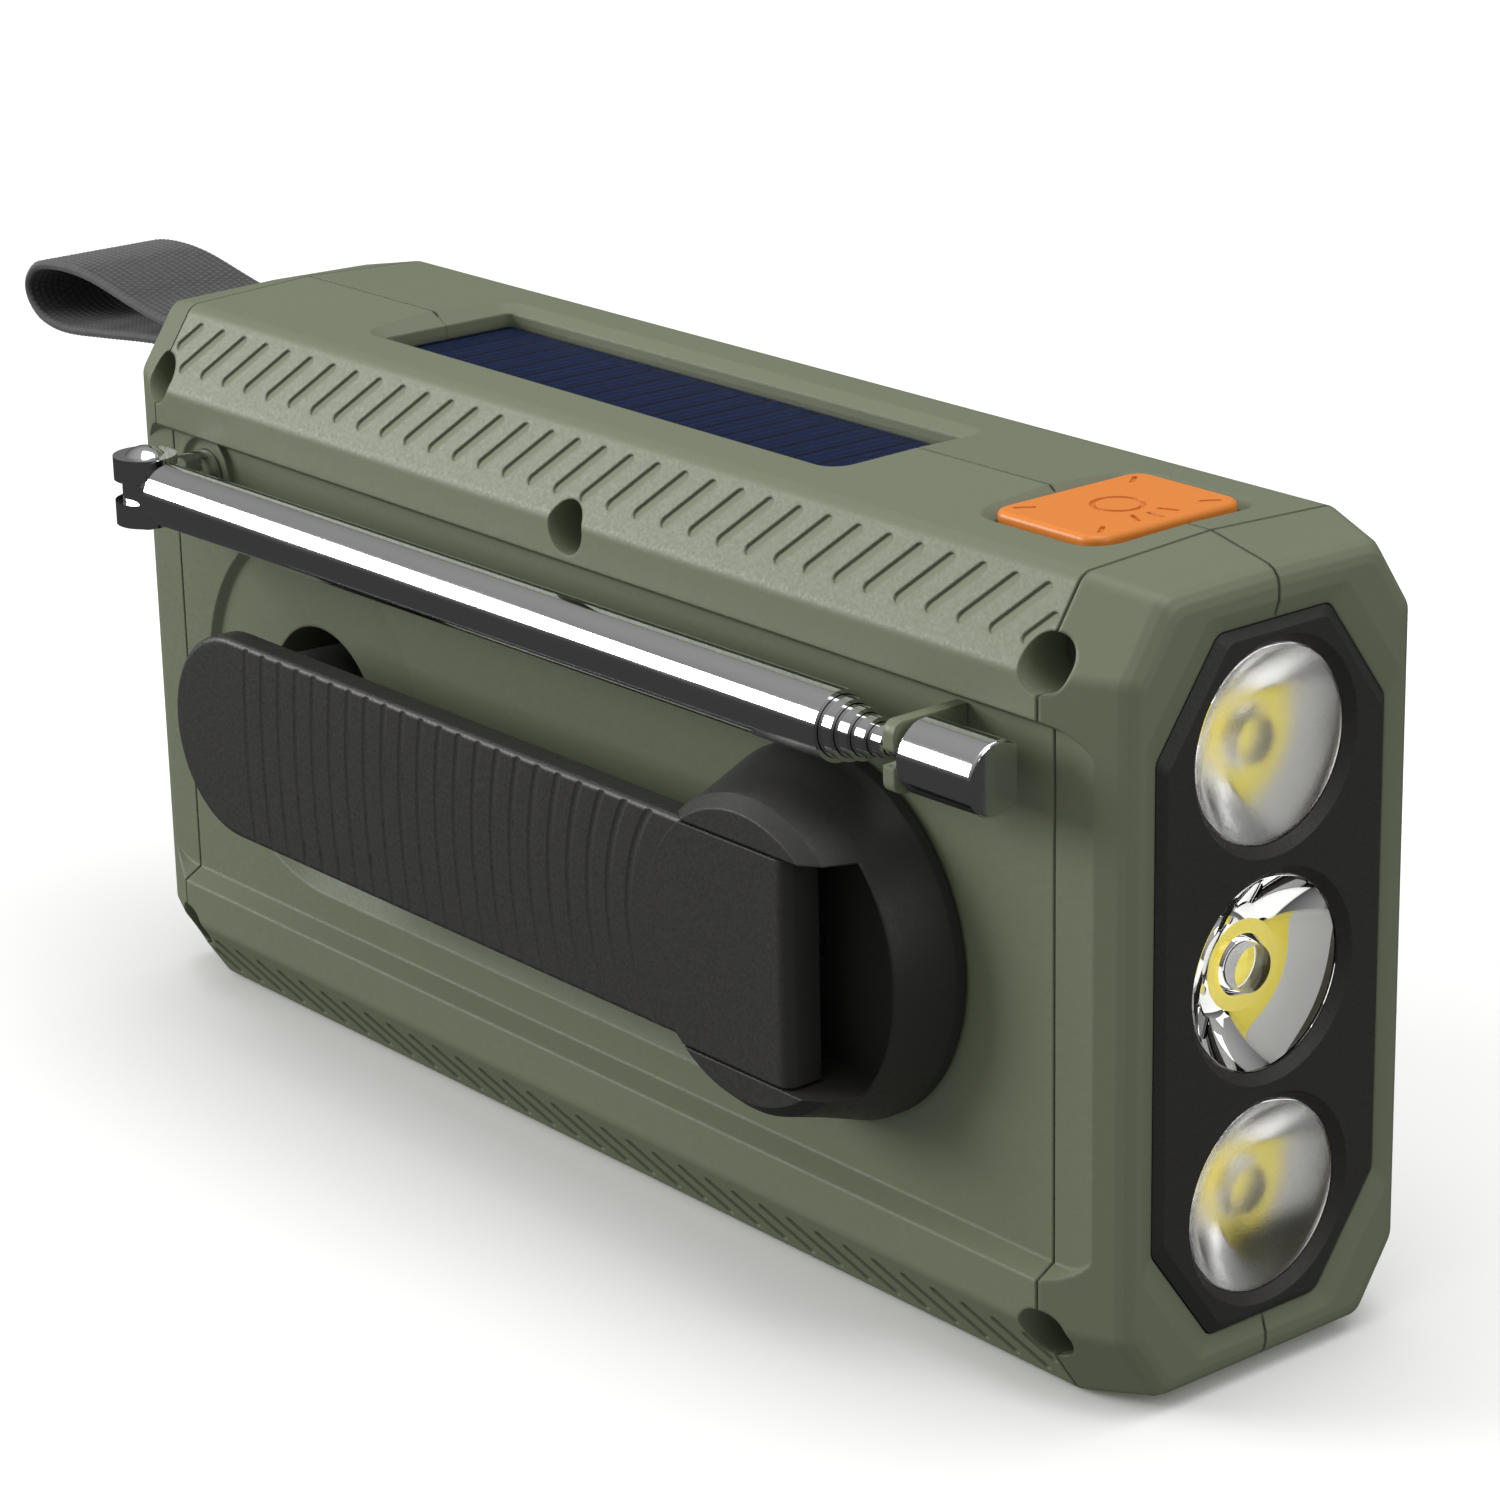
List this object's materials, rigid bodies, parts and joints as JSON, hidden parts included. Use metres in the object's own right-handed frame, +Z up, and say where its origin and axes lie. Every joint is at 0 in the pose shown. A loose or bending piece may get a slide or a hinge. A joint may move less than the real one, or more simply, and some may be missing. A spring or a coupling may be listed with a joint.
{
  "type": "emergency radio",
  "caption": "Hand-crank and solar emergency radio: chamfered case with a lamp end, folding crank, stowed telescopic antenna, solar window, light button and wrist strap.",
  "frame": {"origin": "middle of the flat bottom face", "axes": "+X along the case towards the lamp end, -Y towards the crank side, +Z up"},
  "size_m": [0.2107, 0.06, 0.0846],
  "materials": {
    "antenna_clip": "fine moulded texture",
    "antenna_post": "bright",
    "antenna_rivet": "bright",
    "antenna_section_2": "bright",
    "antenna_section_3": "bright",
    "antenna_section_4": "bright",
    "antenna_section_5": "bright",
    "antenna_tip": "bright",
    "antenna_tube": "bright",
    "battery_cell": "shrink sleeve",
    "battery_holder": "satin",
    "button_board": "printed circuit board",
    "case_screws": "zinc plated",
    "cover_pin": "zinc plated",
    "crank_arm": "fine texture",
    "crank_bush": "plain",
    "crank_hub": "fine texture",
    "crank_knob": "fine texture",
    "crank_shaft": "zinc plated",
    "crank_side_shell": "fine moulded texture",
    "display_module": "satin",
    "display_window": "tinted",
    "drive_gear": "acetal",
    "front_shell": "fine moulded texture",
    "gearbox_plate": "acetal",
    "generator_can": "zinc plated",
    "hinge_pin": "zinc plated",
    "hub_screw": "zinc plated",
    "idler_axle": "zinc plated",
    "idler_gear": "acetal",
    "key_band": "satin",
    "key_sos": "satin",
    "knob_axle": "zinc plated",
    "lamp_bezel": "fine texture",
    "lamp_cap_crank_half": "fine moulded texture",
    "lamp_cap_front_half": "fine moulded texture",
    "led_board": "printed circuit board",
    "led_chips": "phosphor",
    "light_button": "satin",
    "lower_lens": "frosted",
    "main_board": "printed circuit board",
    "middle_lens": "clear",
    "port_cover": "matte",
    "ports_board": "printed circuit board",
    "rotor": "zinc plated",
    "rotor_pinion": "plain",
    "solar_cover": "clear",
    "solar_panel": "silicon cells",
    "speaker_cone": "doped paper",
    "speaker_frame": "satin",
    "speaker_magnet": "zinc plated",
    "stator_coils": "enamelled copper",
    "strap": "woven webbing",
    "strap_cap_crank_half": "fine moulded texture",
    "strap_cap_front_half": "fine moulded texture",
    "strap_peg": "zinc plated",
    "strap_root": "woven webbing",
    "tuning_knob": "fine texture",
    "upper_lens": "frosted",
    "volume_knob": "fine texture"
  },
  "bodies": {
    "case": {"antenna_clip": "antenna_clip", "battery_cell": "battery_cell", "battery_holder": "battery_holder", "button_board": "button_board", "case_screws": "case_screws", "cover_pin": "cover_pin", "crank_bush": "crank_bush", "crank_side_shell": "crank_side_shell", "display_module": "display_module", "display_window": "display_window", "front_shell": "front_shell", "gearbox_plate": "gearbox_plate", "generator_can": "generator_can", "idler_axle": "idler_axle", "lamp_bezel": "lamp_bezel", "lamp_cap_crank_half": "lamp_cap_crank_half", "lamp_cap_front_half": "lamp_cap_front_half", "led_board": "led_board", "led_chips": "led_chips", "lower_lens": "lower_lens", "main_board": "main_board", "middle_lens": "middle_lens", "ports_board": "ports_board", "solar_cover": "solar_cover", "solar_panel": "solar_panel", "speaker_cone": "speaker_cone", "speaker_frame": "speaker_frame", "speaker_magnet": "speaker_magnet", "stator_coils": "stator_coils", "strap_cap_crank_half": "strap_cap_crank_half", "strap_cap_front_half": "strap_cap_front_half", "strap_peg": "strap_peg", "strap_root": "strap_root", "upper_lens": "upper_lens"},
    "hub": {"crank_hub": "crank_hub", "crank_shaft": "crank_shaft", "hub_screw": "hub_screw", "hinge_pin": "hinge_pin", "drive_gear": "drive_gear"},
    "arm": {"crank_arm": "crank_arm", "knob_axle": "knob_axle"},
    "knob": {"crank_knob": "crank_knob"},
    "idler": {"idler_gear": "idler_gear"},
    "generator_rotor": {"rotor": "rotor", "rotor_pinion": "rotor_pinion"},
    "antenna_base": {"antenna_post": "antenna_post", "antenna_rivet": "antenna_rivet"},
    "antenna_main": {"antenna_tube": "antenna_tube"},
    "antenna_2": {"antenna_section_2": "antenna_section_2"},
    "antenna_3": {"antenna_section_3": "antenna_section_3"},
    "antenna_4": {"antenna_section_4": "antenna_section_4"},
    "antenna_5": {"antenna_section_5": "antenna_section_5"},
    "antenna_end": {"antenna_tip": "antenna_tip"},
    "light_button": {"light_button": "light_button"},
    "tuning_knob": {"tuning_knob": "tuning_knob"},
    "volume_knob": {"volume_knob": "volume_knob"},
    "key_band": {"key_band": "key_band"},
    "key_sos": {"key_sos": "key_sos"},
    "port_cover": {"port_cover": "port_cover"},
    "strap": {"strap": "strap"}
  },
  "joints": [
    {"name": "crank_unfold", "type": "hinge", "parent": "hub", "child": "arm", "pos_m": [0.0474, -0.0306, 0.04075], "axis": [0, 0, 1], "range_deg": [0, 180]},
    {"name": "crank_turn", "type": "hinge", "parent": "case", "child": "hub", "pos_m": [0.0435, -0.02, 0.04075], "axis": [0, -1, 0], "continuous": true},
    {"name": "idler_turn", "type": "hinge", "parent": "case", "child": "idler", "pos_m": [0.0225, -0.02, 0.04075], "axis": [0, -1, 0], "continuous": true},
    {"name": "rotor_turn", "type": "hinge", "parent": "case", "child": "generator_rotor", "pos_m": [0.0057, -0.02, 0.04075], "axis": [0, -1, 0], "continuous": true},
    {"name": "knob_spin", "type": "hinge", "parent": "arm", "child": "knob", "pos_m": [-0.0476, -0.02, 0.04075], "axis": [0, -1, 0], "continuous": true},
    {"name": "antenna_swivel", "type": "hinge", "parent": "case", "child": "antenna_base", "pos_m": [-0.068, -0.02, 0.06555], "axis": [0, -1, 0], "range_deg": [0, 180], "deforming": ["antenna_clip"]},
    {"name": "antenna_tilt", "type": "hinge", "parent": "antenna_base", "child": "antenna_main", "pos_m": [-0.068, -0.0286, 0.06555], "axis": [0, 0, -1], "range_deg": [0, 90]},
    {"name": "antenna_slide_2", "type": "slide", "parent": "antenna_main", "child": "antenna_2", "axis": [0.9998, 0.0175, 0], "range_m": [0, 0.09]},
    {"name": "antenna_slide_3", "type": "slide", "parent": "antenna_2", "child": "antenna_3", "axis": [0.9998, 0.0175, 0], "range_m": [0, 0.09]},
    {"name": "antenna_slide_4", "type": "slide", "parent": "antenna_3", "child": "antenna_4", "axis": [0.9998, 0.0175, 0], "range_m": [0, 0.09]},
    {"name": "antenna_slide_5", "type": "slide", "parent": "antenna_4", "child": "antenna_5", "axis": [0.9998, 0.0175, 0], "range_m": [0, 0.09]},
    {"name": "antenna_slide_end", "type": "slide", "parent": "antenna_5", "child": "antenna_end", "axis": [0.9998, 0.0175, 0], "range_m": [0, 0.09]},
    {"name": "light_button_press", "type": "slide", "parent": "case", "child": "light_button", "axis": [0, 0, -1], "range_m": [0, 0.001], "stiffness_N_per_m": 600, "springref_m": -0.0005},
    {"name": "key_band_press", "type": "slide", "parent": "case", "child": "key_band", "axis": [0, -1, 0], "range_m": [0, 0.0008], "stiffness_N_per_m": 600, "springref_m": -0.0004},
    {"name": "key_sos_press", "type": "slide", "parent": "case", "child": "key_sos", "axis": [0, -1, 0], "range_m": [0, 0.0008], "stiffness_N_per_m": 600, "springref_m": -0.0004},
    {"name": "tuning_turn", "type": "hinge", "parent": "case", "child": "tuning_knob", "pos_m": [0.054, 0.021, 0.03195], "axis": [0, 1, 0], "continuous": true},
    {"name": "volume_turn", "type": "hinge", "parent": "case", "child": "volume_knob", "pos_m": [0.024, 0.021, 0.02695], "axis": [0, 1, 0], "range_deg": [0, 270]},
    {"name": "port_cover_open", "type": "hinge", "parent": "case", "child": "port_cover", "pos_m": [-0.083, 0, 0.01735], "axis": [0, -1, 0], "range_deg": [0, 100]},
    {"name": "strap_swing", "type": "hinge", "parent": "case", "child": "strap", "pos_m": [-0.0879, 0, 0.07595], "axis": [0, -1, 0], "range_deg": [-60, 75]}
  ],
  "couplings": [
    {"joint": "crank_turn", "follows": "crank_unfold", "ratio": 2},
    {"joint": "idler_turn", "follows": "crank_unfold", "ratio": -8},
    {"joint": "rotor_turn", "follows": "crank_unfold", "ratio": 24}
  ]
}
